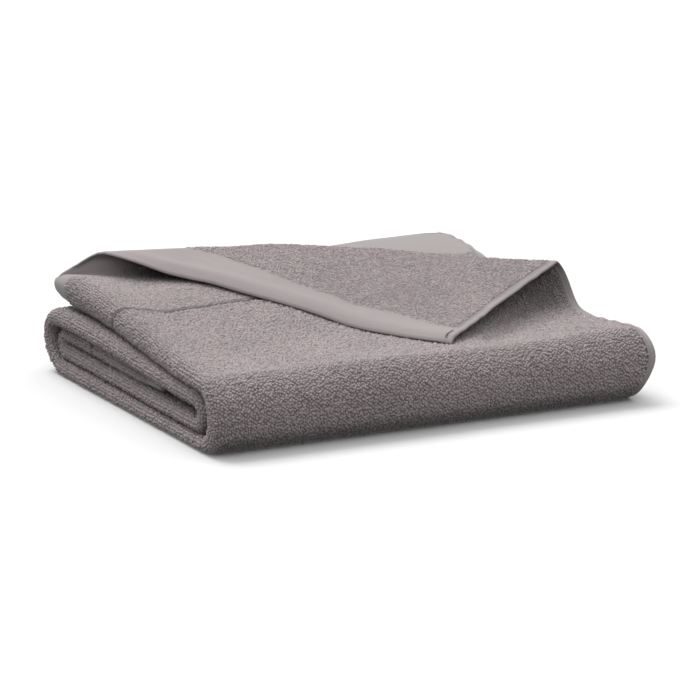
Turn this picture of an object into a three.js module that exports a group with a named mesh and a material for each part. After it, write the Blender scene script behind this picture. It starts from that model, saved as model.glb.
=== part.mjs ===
import * as THREE from "three";

// A folded bath towel, in millimetres. X runs along the front fold, Y from the front to the back,
// Z up from the surface that the towel lies on. The shape is laid out from the lowest corner at the
// front left, and moved at the end so that the middle of its footprint is the origin.
//
// The towel is folded in half along its length, with the long fold on the left and both side hems
// on the right, and the doubled strip is then wrapped up from one end, so that five double layers
// lie on each other. The right corner of the top ply is turned back over a loose, high fold.

// The towel spread flat
const STRIP_WIDTH = 360; // half of the towel's width, from the long fold to the side hems
const PILE_THICKNESS = 4.6; // of one ply, loops included
const BAND_THICKNESS = 2.8; // of the flat woven band at both ends
const HEM_THICKNESS = 3.2; // of the doubled side hems, which have no loops
const BAND_WIDTH = 34;
const SIDE_HEM_WIDTH = 9;
const EDGE_BLEND = 8; // over which the loops thin out beside a band or hem

// The double layers, from the end wrapped inside to the end on top. A layer runs from startY to endY,
// and the height of its middle changes from startZ to endZ, raised by arch half way.
// The fold after it swings reach past endY. The long fold stands at leftStart and leftEnd in X,
// and is bulbStart and bulbEnd high from its middle, bulbMiddle more half way, and bulbFold more
// in the fold that follows. gap is half of the distance between the two plies' middles, and foldGap
// the same in that fold. steps and foldSteps count the rows of faces.
const LAYERS = [
  {
    name: "inner", startY: 86, endY: 271, startZ: 28.4, endZ: 31.8, arch: 0, reach: 7.5,
    leftStart: 6, leftEnd: 4, bulbStart: 2.4, bulbEnd: 3.8, bulbMiddle: 0.4, bulbFold: 0,
    gap: 2.8, foldGap: 3.2, steps: 7, foldSteps: 5,
  },
  {
    name: "lower", startY: 270, endY: 17, startZ: 18, endZ: 17.2, arch: 0, reach: 11,
    leftStart: 3, leftEnd: 1, bulbStart: 3.4, bulbEnd: 3.2, bulbMiddle: 0, bulbFold: 1,
    gap: 3.0, foldGap: 4.4, steps: 7, foldSteps: 6,
  },
  {
    name: "upper", startY: 17, endY: 274, startZ: 35.6, endZ: 45.5, arch: 2, reach: 24,
    leftStart: 0, leftEnd: -3, bulbStart: 3.6, bulbEnd: 5, bulbMiddle: 0.6, bulbFold: 0,
    gap: 3.2, foldGap: 4.2, steps: 8, foldSteps: 8,
  },
  {
    name: "bottom", startY: 268, endY: 4, startZ: 5.5, endZ: 5.5, arch: 0, reach: 17.5,
    leftStart: -1, leftEnd: 0, bulbStart: 3.2, bulbEnd: 3.2, bulbMiddle: 0, bulbFold: 3.6,
    gap: 3.2, foldGap: 7.2, steps: 8, foldSteps: 8,
  },
  {
    name: "top", startY: 4, endY: 290, startZ: 48.5, endZ: 70, arch: 3, reach: 0,
    leftStart: -1, leftEnd: 4, bulbStart: 3.6, bulbEnd: 7, bulbMiddle: 3.2, bulbFold: 0,
    gap: 3.2, foldGap: 3.2, steps: 9, foldSteps: 0,
  },
];
const TIP_TAPER = 0.2; // share that the long fold's height loses at the end on top
const TIP_TAPER_WIDTH = 42;
const SAG = [
  // how far along the top layer, and how much deeper its lower ply hangs at the long fold
  [36, 1],
  [150, 1.08],
  [190, 1.25],
  [218, 1.42],
  [256, 1.85],
  [276, 1.85],
  [286, 1.4],
];
const BULB_FADE = 22; // how far the swelling of the long fold reaches into the strip
const HEM_WANDER = 4.5; // how far the side hems stray from one line
const HEM_WANDER_TURN = 1.45; // radians for each layer
const HEM_WANDER_PEAK = 3.75; // the place along the strip where the upper ply's sticks out most
const HEM_WANDER_LAG = 2.4; // radians by which the lower ply's differs
const TOP = LAYERS.length - 1;
const TOP_LENGTH = LAYERS[TOP].endY - LAYERS[TOP].startY;

// How the stack's height differs from that at the left
const CROWN = 0.035; // share that is gained half way across, behind the front fold
const CROWN_GROWS = [0, 120]; // in Y
const RIGHT_DIP = 0.15; // share that is lost at the right behind the front fold
const RIGHT_DIP_Y = 62;
const RIGHT_DIP_WIDTH = 52;
const RIGHT_RISE = 0.19; // share that is gained at the right of the back
const RIGHT_RISE_GROWS = [150, 295]; // in Y

const FLAT_WITHIN = 0.6; // the underside lies flat where it comes this near to the surface

// The turned-back corner. Distances are along its fold, from the left tip. Near stands for beside
// the tip and far for the middle and the right.
const FOLD_BACK = 188; // from the corner to the fold, along the side hem
const RIDGE_HEIGHTS = [
  // the distance, and there the loose fold's height over the ply that it lies on
  [0, 20.5],
  [120, 20],
  [200, 24.5],
  [260, 25.5],
  [330, 24.5],
  [400, 29],
];
const RIDGE_RADIUS = 6;
const RISE_SLOPE_NEAR = THREE.MathUtils.degToRad(84); // steepness of the rising ply
const RISE_SLOPE_FAR = THREE.MathUtils.degToRad(57);
const RISE_RADIUS_NEAR = 7; // of the bend where it leaves the ply below
const RISE_RADIUS_FAR = 40;
const RISE_CHANGES = [60, 155];
const OVERHANG = 3; // of the loose fold behind the fold line
const CONE_LENGTH = 34; // up to this distance the loose fold widens like a cone
const LEAST_RADIUS = 3.4; // of its bends at the tip
const LEAST_RISE = 6.5; // of its rising ply there
const LIFT_GROWS = 6;
const STEEPEST_DESCENT = THREE.MathUtils.degToRad(18);
const LYING_HEIGHT = 4.3; // of the turned-back ply's middle over that of the ply it lies on
const CREEP = 12; // how far the turned-back ply slips along the fold towards the tip
const CREEP_GROWS = 170;
const RIDGE_PUSH = 9; // how far the loose fold's right end is pushed out along the fold
const RIDGE_PUSH_GROWS = [180, 390];
const RIDGE_PUSH_WIDTH = 45; // over this length of cloth on both sides of the ridge

const TIP_ROWS = 12; // the length of the long fold where the rows of the corner draw together
const FAN_WIDTH = 15; // the distance from the long fold over which they spread out

const smooth = (value) => THREE.MathUtils.smoothstep(value, 0, 1);
const mix = THREE.MathUtils.lerp;
const bell = (value) => Math.exp(-value * value);
const ramp = (value, [from, to]) => smooth((value - from) / (to - from));

// The smaller of two values, with a soft change between them
const SOFTNESS = 0.15;
const softLeast = (a, b) => (a + b - Math.hypot(a - b, SOFTNESS)) / 2;

// A value between the rows of a table of places and values
function lookUp(table, place) {
  const next = table.findIndex(([at]) => at > place);
  if (next === 0) return table[0][1];
  if (next < 0) return table[table.length - 1][1];
  const [[from, before], [to, after]] = [table[next - 1], table[next]];
  return mix(before, after, smooth((place - from) / (to - from)));
}

// The middle of a double layer, seen from the left. place counts the layers from 0 at the inner end,
// with a layer on the first half of each unit and its fold on the second half.
function middle(place) {
  const index = Math.min(Math.floor(place), TOP);
  const layer = LAYERS[index];
  const share = (place - index) * 2;
  if (index === TOP || share <= 1) {
    const y = mix(layer.startY, layer.endY, share);
    const height = mix(layer.startZ, layer.endZ, smooth(share));
    return { y, z: height + layer.arch * Math.sin(Math.PI * THREE.MathUtils.clamp(share, 0, 1)) };
  }
  const next = LAYERS[index + 1];
  const turn = (share - 1) * Math.PI;
  const way = Math.sign(layer.endY - layer.startY);
  return {
    y: mix(layer.endY, next.startY, (1 - Math.cos(turn)) / 2) + way * layer.reach * Math.sin(turn),
    z: mix(layer.endZ, next.startZ, (1 - Math.cos(turn)) / 2),
  };
}

// A measure that changes along the strip: the layer's own on its run, and blended over its fold
function along(place, atStart, atEnd) {
  const index = Math.min(Math.floor(place), TOP);
  const share = (place - index) * 2;
  const layer = LAYERS[index];
  if (index === TOP || share <= 1) return mix(atStart(layer), atEnd(layer), share);
  return mix(atEnd(layer), atStart(LAYERS[index + 1]), smooth(share - 1));
}

function halfGap(place) {
  const index = Math.min(Math.floor(place), TOP);
  const share = (place - index) * 2;
  const base = along(place, (layer) => layer.gap, (layer) => layer.gap);
  if (index === TOP || share <= 1) return base;
  return mix(base, LAYERS[index].foldGap, Math.sin((share - 1) * Math.PI));
}

function bulbHeight(place) {
  const index = Math.min(Math.floor(place), TOP);
  const share = (place - index) * 2;
  const layer = LAYERS[index];
  const ends = along(place, (one) => one.bulbStart, (one) => one.bulbEnd);
  if (index < TOP && share > 1) return ends + layer.bulbFold * Math.sin(Math.PI * (share - 1));
  const fromEnd = index === TOP ? (1 - share) * TOP_LENGTH : TIP_TAPER_WIDTH;
  const taper = 1 - TIP_TAPER * smooth(1 - fromEnd / TIP_TAPER_WIDTH);
  return taper * (ends + layer.bulbMiddle * Math.sin(Math.PI * Math.min(share, 1)));
}

// The height of the stack here, as a share of its height on the left
function swell(x, y) {
  const rightness = smooth(x / STRIP_WIDTH);
  const dip = RIGHT_DIP * bell((y - RIGHT_DIP_Y) / RIGHT_DIP_WIDTH);
  const rise = RIGHT_RISE * ramp(y, RIGHT_RISE_GROWS);
  const half = Math.sin(Math.PI * THREE.MathUtils.clamp(x / STRIP_WIDTH, 0, 1));
  const crown = CROWN * half * ramp(y, CROWN_GROWS);
  return 1 + crown + rightness * (rise - dip);
}

const FOLD_SLOPE = Math.atan2(FOLD_BACK, STRIP_WIDTH);
const ALONG_FOLD = new THREE.Vector2(Math.cos(FOLD_SLOPE), -Math.sin(FOLD_SLOPE));
const TO_FRONT = new THREE.Vector2(-Math.sin(FOLD_SLOPE), -Math.cos(FOLD_SLOPE));
const TIP = new THREE.Vector2(LAYERS[TOP].leftEnd, LAYERS[TOP].endY);

// The measures of the loose fold's section at a distance from the tip: the ply rises on an arc and
// a straight wall, turns over on a tighter arc and goes straight down
function foldSection(distance) {
  const change = ramp(distance, RISE_CHANGES);
  const size = softLeast(distance / CONE_LENGTH, 1);
  const slope = mix(RISE_SLOPE_NEAR, RISE_SLOPE_FAR, change);
  const [sine, cosine] = [Math.sin(slope), Math.cos(slope)];
  const radius = Math.max(RIDGE_RADIUS * size, LEAST_RADIUS);
  const turnHeight = radius * (1 + cosine);
  const riseHeight = Math.max(lookUp(RIDGE_HEIGHTS, distance) * size - turnHeight, LEAST_RISE);
  const ridge = riseHeight + turnHeight;
  const widest = Math.max(mix(RISE_RADIUS_NEAR, RISE_RADIUS_FAR, change) * size, LEAST_RADIUS);
  const bend = Math.min(widest, riseHeight / (1 - cosine));
  const wall = (riseHeight - bend * (1 - cosine)) / sine;
  const span = bend * sine + wall * cosine;
  const toEdge = Math.max(distance * Math.tan(FOLD_SLOPE) - 2 * radius, 1);
  const descent = Math.min(Math.atan2(ridge - LYING_HEIGHT, toEdge), STEEPEST_DESCENT);
  const overhang = OVERHANG * change;
  return {
    slope, riseHeight, bend, wall, span, descent, radius,
    riseLength: bend * slope + wall,
    turnLength: radius * (Math.PI - slope + descent),
    lift: (span + radius * (1 - sine) - overhang) * smooth(distance / LIFT_GROWS),
  };
}

// A place in that section. length is the cloth's length from where it lifts off, forward the distance
// in front of that place and up the height.
function looseFold(section, length) {
  const { slope, riseHeight, bend, span, descent, radius, riseLength, turnLength } = section;
  const bent = Math.min(length / bend, slope);
  if (length < riseLength) {
    const wall = length - bend * bent;
    return {
      forward: -bend * Math.sin(bent) - wall * Math.cos(slope),
      up: bend * (1 - Math.cos(bent)) + wall * Math.sin(slope),
    };
  }
  const angle = slope + Math.min(length - riseLength, turnLength) / radius;
  const forward = -span + radius * (Math.sin(slope) - Math.sin(angle));
  const up = riseHeight + radius * (Math.cos(slope) - Math.cos(angle));
  const rest = length - riseLength - turnLength;
  if (rest <= 0) return { forward, up };
  const fall = Math.max(up - LYING_HEIGHT, 0) / Math.sin(descent);
  const sloping = Math.min(rest, fall);
  return {
    forward: forward + sloping * Math.cos(descent) + (rest - sloping),
    up: up - sloping * Math.sin(descent),
  };
}

// A point in the middle of the cloth. across runs from the side hem of the lower ply, at minus
// STRIP_WIDTH, over the long fold at 0 to the side hem of the upper ply.
function cloth(across, place) {
  const side = across < 0 ? -1 : 1;
  const run = Math.abs(across);
  const bulb = bulbHeight(place);
  const left = along(place, (layer) => layer.leftStart, (layer) => layer.leftEnd);
  const deep = side < 0 && place > TOP ? bulb * lookUp(SAG, (place - TOP) * 2 * TOP_LENGTH) : bulb;
  const quarter = (bulb * Math.PI) / 2;
  let x = left + bulb * (1 - Math.cos(run / bulb));
  let out = side * deep * Math.sin(run / bulb);
  if (run > quarter) {
    const past = run - quarter;
    x = left + bulb + past;
    out = side * mix(halfGap(place), deep, bell(past / BULB_FADE));
    const lag = side < 0 ? HEM_WANDER_LAG : 0;
    const stray = Math.cos(HEM_WANDER_TURN * (place - HEM_WANDER_PEAK) + lag);
    x += HEM_WANDER * stray * (past / STRIP_WIDTH) ** 2;
  }
  const nudge = 0.001;
  const here = middle(place);
  const before = middle(Math.max(place - nudge, 0));
  const after = middle(Math.max(place - nudge, 0) + 2 * nudge);
  const heading = Math.hypot(after.y - before.y, after.z - before.z);
  const y = here.y - (out * (after.z - before.z)) / heading;
  const z = here.z + (out * (after.y - before.y)) / heading;
  if (place < TOP || side < 0) return new THREE.Vector3(x, y, z * swell(x, y));
  return turnedBack(x, y, z);
}

// The upper ply of the top layer, with its right corner turned back
function turnedBack(x, y, z) {
  const fromTip = new THREE.Vector2(x, y).sub(TIP);
  const distance = fromTip.dot(ALONG_FOLD);
  const section = foldSection(Math.max(distance, 0));
  const length = section.lift - fromTip.dot(TO_FRONT);
  if (length <= 0 || distance <= 0) return new THREE.Vector3(x, y, z * swell(x, y));
  const { forward, up } = looseFold(section, length);
  const creep = CREEP * smooth(distance / CREEP_GROWS) * smooth(length / CREEP_GROWS);
  const toRidge = length - section.riseLength;
  const push = RIDGE_PUSH * ramp(distance, RIDGE_PUSH_GROWS) * bell(toRidge / RIDGE_PUSH_WIDTH);
  const plan = TIP.clone();
  plan.addScaledVector(ALONG_FOLD, distance + push * smooth(length / RIDGE_PUSH_WIDTH) - creep);
  plan.addScaledVector(TO_FRONT, section.lift + forward);
  const top = LAYERS[TOP];
  const share = THREE.MathUtils.clamp((plan.y - top.startY) / TOP_LENGTH, 0, 1);
  const under = (middle(TOP + share / 2).z + top.gap) * swell(plan.x, plan.y);
  return new THREE.Vector3(plan.x, plan.y, under + up);
}

// The cloth's thickness: thinner in the end bands and in the side hems
function thickness(across, place) {
  const inner = LAYERS[0];
  const fromInnerEnd = place * 2 * (inner.endY - inner.startY);
  const fromTopEnd = (TOP + 0.5 - place) * 2 * TOP_LENGTH;
  const fromEnd = Math.min(fromInnerEnd, fromTopEnd);
  const fromSide = STRIP_WIDTH - Math.abs(across);
  const pile = mix(BAND_THICKNESS, PILE_THICKNESS, smooth((fromEnd - BAND_WIDTH) / EDGE_BLEND));
  const hem = mix(HEM_THICKNESS, PILE_THICKNESS, smooth((fromSide - SIDE_HEM_WIDTH) / EDGE_BLEND));
  return Math.min(pile, hem);
}

function face(across, place, side) {
  const nudge = 0.0005;
  const span = 0.25;
  const [low, high] = [Math.max(place - nudge, 0), Math.min(place + nudge, TOP + 0.5)];
  const alongCloth = cloth(across, high).sub(cloth(across, low));
  const left = Math.max(across - span, -STRIP_WIDTH);
  const right = Math.min(across + span, STRIP_WIDTH);
  const acrossCloth = cloth(right, place).sub(cloth(left, place));
  const outward = acrossCloth.cross(alongCloth).normalize();
  const point = cloth(across, place);
  const pressed = Math.min(swell(point.x, point.y), 1);
  point.addScaledVector(outward, (side * pressed * thickness(across, place)) / 2);
  if (point.z < FLAT_WITHIN) point.z = 0;
  return point;
}

// Places across the strip where the faces meet, from one side hem to the other
const LOWER_COLUMNS = [360, 353, 345, 300, 240, 180, 120, 70, 30, 15, 8.5, 4];
const TIP_COLUMNS = [4, 8.5, 14, 19, 24, 31, 40, 49, 58];
const UPPER_COLUMNS = [...TIP_COLUMNS, 76, 94, 115, 145, 180, 220, 265, 308, 345, 353, 360];
const COLUMNS = [...LOWER_COLUMNS.map((value) => -value), 0, ...UPPER_COLUMNS];

// Rows of faces on the layers under the top one: each lies at one place along the strip
function levelRows() {
  const list = [];
  LAYERS.slice(0, TOP).forEach((layer, index) => {
    for (let step = 0; step < layer.steps; step += 1) list.push(index + step / layer.steps / 2);
    for (let step = 0; step < layer.foldSteps; step += 1) {
      list.push(index + 0.5 + step / layer.foldSteps / 2);
    }
  });
  return list;
}

// Rows of faces on the top layer, each a length from the front fold. On the upper ply they follow
// the turned-back corner's section: RISE_ROWS and TURN_ROWS are shares of its rise and its turn.
// All of them start on the long fold, close together beside the tip.
const RISE_ROWS = [0, 0.4, 0.75, 1];
const TURN_ROWS = [0.25, 0.5, 0.75, 1];
const LYING_ROWS = [0.22, 0.45, 0.66, 0.8, 0.86, 1];
const STANDING_SHARE = 0.8; // of the cloth at most that goes to the rise and the turn
const TOP_ROWS = LAYERS[TOP].steps + RISE_ROWS.length + TURN_ROWS.length + LYING_ROWS.length;

function topRowLength(row, across) {
  const early = LAYERS[TOP].steps;
  const run = Math.abs(across);
  const late = (row - early) / (TOP_ROWS - 1 - early);
  const beforeTip = TOP_LENGTH - TIP_ROWS;
  const onFold = row < early ? (beforeTip * row) / early : beforeTip + TIP_ROWS * late;
  if (across <= 0) return mix(onFold, (TOP_LENGTH * row) / (TOP_ROWS - 1), run / STRIP_WIDTH);
  const cosine = Math.cos(FOLD_SLOPE);
  const { lift, riseLength, turnLength } = foldSection(run / cosine);
  const liftLength = TOP_LENGTH - run * Math.tan(FOLD_SLOPE) - lift / cosine;
  const standing = riseLength + turnLength;
  const fits = ((TOP_LENGTH - liftLength) * cosine) / standing;
  const scale = Math.min(fits * STANDING_SHARE, 1) / cosine;
  let length = (liftLength * row) / early;
  if (row >= early) {
    const turnEnd = liftLength + scale * standing;
    const stops = [
      ...RISE_ROWS.map((share) => liftLength + scale * share * riseLength),
      ...TURN_ROWS.map((share) => liftLength + scale * (riseLength + share * turnLength)),
      ...LYING_ROWS.map((share) => mix(turnEnd, TOP_LENGTH, share)),
    ];
    length = stops[row - early];
  }
  return mix(onFold, length, smooth(run / FAN_WIDTH));
}

function towelGeometry() {
  const points = [];
  const faces = [];
  const level = levelRows();
  const rowCount = level.length + TOP_ROWS;
  const columns = COLUMNS.length;
  const placeOf = (row, across) => {
    if (row < level.length) return level[row];
    return TOP + topRowLength(row - level.length, across) / TOP_LENGTH / 2;
  };
  [1, -1].forEach((side) => {
    for (let row = 0; row < rowCount; row += 1) {
      COLUMNS.forEach((across) => points.push(face(across, placeOf(row, across), side)));
    }
  });
  const layerSize = rowCount * columns;
  const quad = (a, b, c, d) => {
    const shorter = points[a].distanceTo(points[c]) <= points[b].distanceTo(points[d]);
    faces.push(...(shorter ? [a, b, c, a, c, d] : [a, b, d, b, c, d]));
  };
  for (let row = 0; row < rowCount - 1; row += 1) {
    for (let column = 0; column < columns - 1; column += 1) {
      const corner = row * columns + column;
      const [a, b, c, d] = [corner, corner + 1, corner + columns + 1, corner + columns];
      quad(a, b, c, d);
      quad(a + layerSize, d + layerSize, c + layerSize, b + layerSize);
    }
  }
  const rim = (from, to) => quad(from, from + layerSize, to + layerSize, to);
  for (let column = 0; column < columns - 1; column += 1) {
    rim(column, column + 1);
    const end = (rowCount - 1) * columns + column;
    rim(end + 1, end);
  }
  for (let row = 0; row < rowCount - 1; row += 1) {
    rim((row + 1) * columns, row * columns);
    rim(row * columns + columns - 1, (row + 1) * columns + columns - 1);
  }
  const geometry = new THREE.BufferGeometry().setFromPoints(points);
  geometry.setIndex(faces);
  const middleOf = new THREE.Box3().setFromPoints(points).getCenter(new THREE.Vector3());
  geometry.translate(-middleOf.x, -middleOf.y, 0);
  geometry.computeVertexNormals();
  return geometry;
}

const terry = new THREE.MeshStandardMaterial({ color: 0x8f8587, roughness: 0.95, metalness: 0 });
const towel = new THREE.Mesh(towelGeometry(), terry);
towel.name = "towel";

const part = new THREE.Group();
part.add(towel);

export default part;
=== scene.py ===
import math

import bpy
import numpy as np
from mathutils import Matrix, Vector
from mathutils.bvhtree import BVHTree


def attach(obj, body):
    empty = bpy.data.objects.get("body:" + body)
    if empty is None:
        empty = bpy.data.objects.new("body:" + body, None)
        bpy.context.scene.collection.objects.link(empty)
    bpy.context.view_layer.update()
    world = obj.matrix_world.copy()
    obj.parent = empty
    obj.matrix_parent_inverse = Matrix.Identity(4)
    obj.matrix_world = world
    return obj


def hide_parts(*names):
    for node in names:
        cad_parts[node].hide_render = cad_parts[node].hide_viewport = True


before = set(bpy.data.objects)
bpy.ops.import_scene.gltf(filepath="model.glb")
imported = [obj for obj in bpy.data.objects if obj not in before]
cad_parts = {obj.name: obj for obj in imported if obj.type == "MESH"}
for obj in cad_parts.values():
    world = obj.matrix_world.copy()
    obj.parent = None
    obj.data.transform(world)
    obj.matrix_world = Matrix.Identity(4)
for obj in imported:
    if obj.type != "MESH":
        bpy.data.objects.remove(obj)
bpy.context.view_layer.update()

bl_info = {
    "name": "Folded Bath Towel",
    "version": (1, 0, 0),
    "blender": (4, 5, 0),
    "location": "View3D > Sidebar > Towel",
    "description": "Builds a folded terry bath towel with its loops, hems and bands",
    "category": "Add Mesh",
}

MM = 0.001

# The towel's folded shape, in millimetres. It is laid out from the lowest corner at the front left,
# with X along the front fold, Y to the back and Z up, and moved so that the middle of its footprint
# is the origin.
MIDDLE = np.array([181.126, 139.219, 0.0])
STRIP_WIDTH = 360.0
LAYER_COLUMNS = (
    "start_y end_y start_z end_z arch reach left_start left_end bulb_start bulb_end "
    "bulb_middle bulb_fold gap fold_gap rows fold_rows"
).split()
LAYERS = [
    # inner, lower, upper, bottom and top layer, from the end wrapped inside to the end on top
    (86, 271, 28.4, 31.8, 0, 7.5, 6, 4, 2.4, 3.8, 0.4, 0, 2.8, 3.2, 24, 9),
    (270, 17, 18, 17.2, 0, 11, 3, 1, 3.4, 3.2, 0, 1, 3.0, 4.4, 30, 11),
    (17, 274, 35.6, 45.5, 2, 24, 0, -3, 3.6, 5, 0.6, 0, 3.2, 4.2, 40, 18),
    (268, 4, 5.5, 5.5, 0, 17.5, -1, 0, 3.2, 3.2, 0, 3.6, 3.2, 7.2, 34, 24),
    (4, 290, 48.5, 70, 3, 0, -1, 4, 3.6, 7, 3.2, 0, 3.2, 3.2, 36, 0),
]
LAYER = {name: np.array([row[k] for row in LAYERS], float) for k, name in enumerate(LAYER_COLUMNS)}
TOP = len(LAYERS) - 1
TOP_LENGTH = LAYER["end_y"][TOP] - LAYER["start_y"][TOP]
# The long fold's roundness, how far the top layer's lower ply hangs at places along it, how the
# side hems wander, and how the stack swells in the middle and at its right end
TIP_TAPER = 0.2
TIP_TAPER_WIDTH = 42.0
SAG = [(36, 1), (150, 1.08), (190, 1.25), (218, 1.42), (256, 1.85), (276, 1.85), (286, 1.4)]
BULB_FADE = 22.0
HEM_WANDER = 4.5
HEM_WANDER_TURN = 1.45
HEM_WANDER_PEAK = 3.75
HEM_WANDER_LAG = 2.4
CROWN = 0.035
CROWN_GROWS = (0, 120)
RIGHT_DIP = 0.15
RIGHT_DIP_Y = 62.0
RIGHT_DIP_WIDTH = 52.0
RIGHT_RISE = 0.19
RIGHT_RISE_GROWS = (150, 295)
# The turned-back corner: how far to the front its fold line comes by the right end, the ridge's
# height at distances from the tip, its section near the tip and far from it, and how the cloth lies
# past it
FOLD_BACK = 188.0
RIDGE_HEIGHTS = [(0, 20.5), (120, 20), (200, 24.5), (260, 25.5), (330, 24.5), (400, 29)]
RIDGE_RADIUS = 6.0
RISE_SLOPE_NEAR = math.radians(84)
RISE_SLOPE_FAR = math.radians(57)
RISE_RADIUS_NEAR = 7.0
RISE_RADIUS_FAR = 40.0
RISE_CHANGES = (60, 155)
OVERHANG = 3.0
CONE_LENGTH = 34.0
SOFTNESS = 0.15
LEAST_RADIUS = 3.4
LEAST_RISE = 6.5
LIFT_GROWS = 6.0
STEEPEST_DESCENT = math.radians(18)
LYING_HEIGHT = 4.3
CREEP = 12.0
CREEP_GROWS = 170.0
RIDGE_PUSH = 9.0
RIDGE_PUSH_GROWS = (180, 390)
RIDGE_PUSH_WIDTH = 45.0
# How the rows of faces fan out on the top layer
TIP_ROWS = 12.0
FAN_WIDTH = 15.0
STANDING_SHARE = 0.8
# The right end of the front fold is tucked in low down and bulges over that. The pairs say where
# along x, y and z each starts and where it is full.
END_TUCK = 8.0
TUCK_X, TUCK_Y, TUCK_Z = (300, 360), (36, 6), (32, 0)
END_BULGE = 3.4
BULGE_X, BULGE_Y = (322, 360), (44, 14)
BULGE_Z, BULGE_Z_REACH = 37.0, 12.0
# Where the stack stands a little higher or lower: x, y, how far that reaches along each, and what
# share of the height it is
HEAPS = [
    (85, 195, 38, 38, 0.04),
    (160, 88, 36, 36, -0.052),
    (350, 225, 60, 75, 0.036),
    (362, 36, 60, 50, 0.09),
]
# The turned-back corner's band edge is rolled, with a welt beside the roll
EDGE_ROLL = 2.4
EDGE_ROLL_WIDTH = 10.0
EDGE_ROLL_GROWS = (60, 120)
EDGE_WELT = 1.3
EDGE_WELT_PLACE, EDGE_WELT_WIDTH = 8.5, 4.5
EDGE_WELT_GROWS = (40, 100)

# The cloth's surface: over what distance the pile grows beside the bands and hems, how much lower
# the ground lies where loops stand on it, how high the side hems ripple, and below what height the
# waves fade out and the cloth lies flat on the floor
PILE_FROM_BAND, PILE_FROM_HEM = 8.0, 6.0
GROUND_SINKS = 0.8
RIPPLE_HEIGHT, RIPPLE_LENGTH, RIPPLE_REACH = 0.5, 4.3, 7.0
RIPPLE_SWAY, RIPPLE_SWAY_LENGTH = 3, 17
WAVES_FADE, LIES_FLAT = 12.0, 0.6
EDGE_RADIUS = 1.5
# From what share of open air a place counts as seen, and the rays that find that share: how many,
# how far over the cloth they start and how far they go
SEEN = 0.12
AIR_RAYS, AIR_START, AIR_REACH = 14, 0.6, 400
# The soft waves: a height, and then for each of two sines its length across, its length along and
# its phase
WAVES = (
    (1.0, 33, 71, 0.4, -90, 39, 0),
    (0.7, 17, -46, 2.0, math.inf, 23, 1.1),
    (0.5, 11, math.inf, 0.7, -37, 14, 0.3),
)
# The rows nearest a cut edge, as distances from it, and where the even rows stop
RIM = (0, 0.35, 0.9, 1.7)
RIM_BEGINS = 2.6
# How much less full the pile is between the bare border line and the band, over what distances
# that grows, and how full it is on the upper ply's inner face and on the lower ply's
FULLNESS_LOSS, LOSS_FROM_LINE, LOSS_FROM_FOLD = 0.35, 8, (18, 38)
INNER_FULLNESS = (0.66, 0.3)
NO_BORDER = 99.0
# The two faces of the cloth, the outer one first, as the sign of their direction
SIDES = (1, -1)
# How high the stitches lie over the hem, and how far apart the points of their rows are in rows of
# the cloth's faces
SEAM_LIFT, SEAM_STEP = 0.1, 0.34
# Near-black painted shadow for thin dark lines: the border line's crease, beside the side hems and in
# the hem's open end
SHADOW_LINE_COLOUR = (0.05, 0.04, 0.042)

FOLD_SLOPE = math.atan2(FOLD_BACK, STRIP_WIDTH)
ALONG_FOLD = (math.cos(FOLD_SLOPE), -math.sin(FOLD_SLOPE))
TO_FRONT = (-math.sin(FOLD_SLOPE), -math.cos(FOLD_SLOPE))
TIP = (LAYER["left_end"][TOP], LAYER["end_y"][TOP])

# The bare border line's distance from the cloth's end, and how much wider the flat band shows on
# the inner face, at places across the cloth
BORDER_LINE = [
    (-30, 126), (-5, 126), (3, 129), (11, 133), (20, 141), (33, 144),
    (60, 139.6), (110, 134.5), (360, 134),
]
LOWER_BAND_EXTRA = 42.0
BAND_EXTRA = [(0, 10), (129, 10), (172, 5), (220, -0.5), (265, -1.5), (317, 0), (360, 1)]

# Painted shade on the pile: in the loose fold's mouth, beside the turned-back ply's side hem, which
# runs from one place over a distance along x and y, and wherever little open air reaches
MOUTH, MOUTH_REACH, MOUTH_SHADE = (70, 243), 46.0, 0.78
MOUTH_OPEN, MOUTH_FADE = 0.9, 0.35
BESIDE_START, BESIDE_RUN = (352, 104), (-107, -72)
BESIDE_REACH, BESIDE_SHADE = (29, 9), (0.58, 0.4)
LEAST_LIGHT = 0.42
LIGHT_FROM, LIGHT_GROWS = 0.05, 0.29

# The roots of the loops: how far they stray, as a share of a step, how much open air they need, the
# lowest one over the floor in metres, the limits between which chance ends them at the bands and
# past the hems, where the top is parted in two, and how level a place on the top is
JITTER_ALONG, STRAY_ACROSS = 0.32, 0.36
ROOT_AIR, LOWEST_ROOT = 0.05, 0.0021
BARE_LIMITS, PAST_HEM = (0.1, 0.6), (0.5, 1.9)
TOP_PARTED, TOP_LEVEL = 135, 0.6
# The loops: how much fuller or thinner their clumps are and how much fuller they stand by the bare
# border line, how far they turn, how their sizes vary, over what distance and from what share
# they grow beside the bands and hems, and how far apart the seeds of their pieces are
CLUMPING, LINE_WELT, LINE_WELT_PLACE, LINE_WELT_WIDTH = 0.3, 0.35, 4.5, 2.2
LOOP_TURN = 0.7
LOOP_SIZES = {"X": (0.95, 1.4), "Y": (0.9, 1.25), "Z": (0.6, 1.4)}
BESIDE_BAND, BESIDE_HEM, WIDTH_POWER = (10.0, 0.45), (3.0, 0.75), 0.3
SEED_STEP = 100

# The photograph's camera, in the same coordinates
LOOKS_AT = np.array([242.38, 242.56, 0.0])
LOOKS_DOWN = math.radians(12.70)
LOOKS_RIGHT = math.radians(27.94)
CAMERA_DISTANCE = 2003.78
CAMERA_LENS = 125.0

# The studio: the floor's distance below the towel in metres, the sky's brightest way and its
# strength there and away from it, and each sun's name, strength, spread and turn in degrees
FLOOR_DROP = 0.0003
SKY_TOWARD = (-0.08, -0.05, 0.96)
SKY_STRENGTH = {"From Min": -0.1, "From Max": 0.9, "To Min": 0.2, "To Max": 1.0}
SUNS = (
    ("overhead", 1.78, 34, (-24, -7, 0)),
    ("left_fill", 0.3, 60, (58, -30, 0)),
)


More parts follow.
